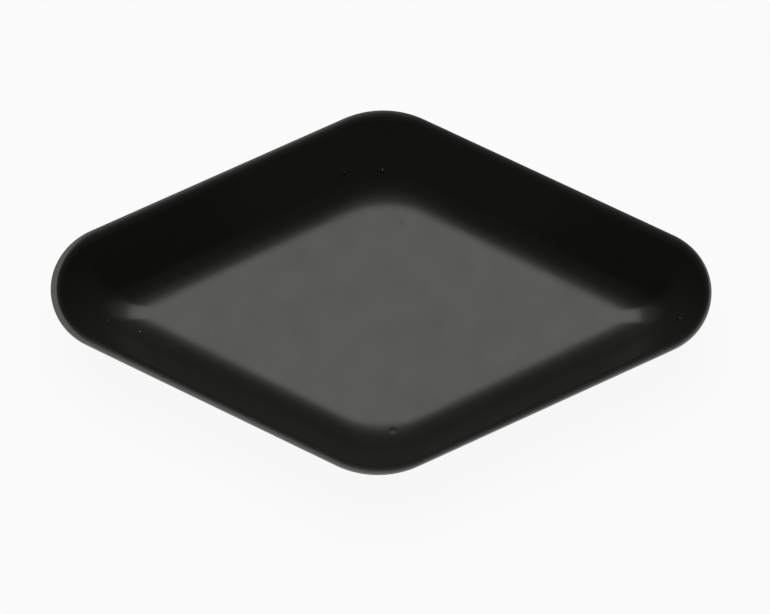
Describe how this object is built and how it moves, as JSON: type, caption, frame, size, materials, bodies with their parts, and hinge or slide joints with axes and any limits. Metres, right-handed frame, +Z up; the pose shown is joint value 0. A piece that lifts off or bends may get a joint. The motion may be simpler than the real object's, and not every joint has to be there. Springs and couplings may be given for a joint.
{
  "type": "weighing boat",
  "caption": "Small diamond-shaped weighing boat: a shallow, flat-bottomed, vacuum-formed dish with sloping walls, rounded corners and a thin rolled lip.",
  "frame": {"origin": "middle of the lip's outline, on the plane that the flat underside rests on", "axes": "+X along the long diagonal from tip to tip, +Y along the short diagonal, +Z up out of the open side"},
  "size_m": [0.0572, 0.0336, 0.0069],
  "materials": {
    "black_polystyrene": "smooth, softly glossy black sheet, as it comes off the form"
  },
  "bodies": {
    "root": {"weighing_boat": "black_polystyrene"}
  },
  "joints": []
}
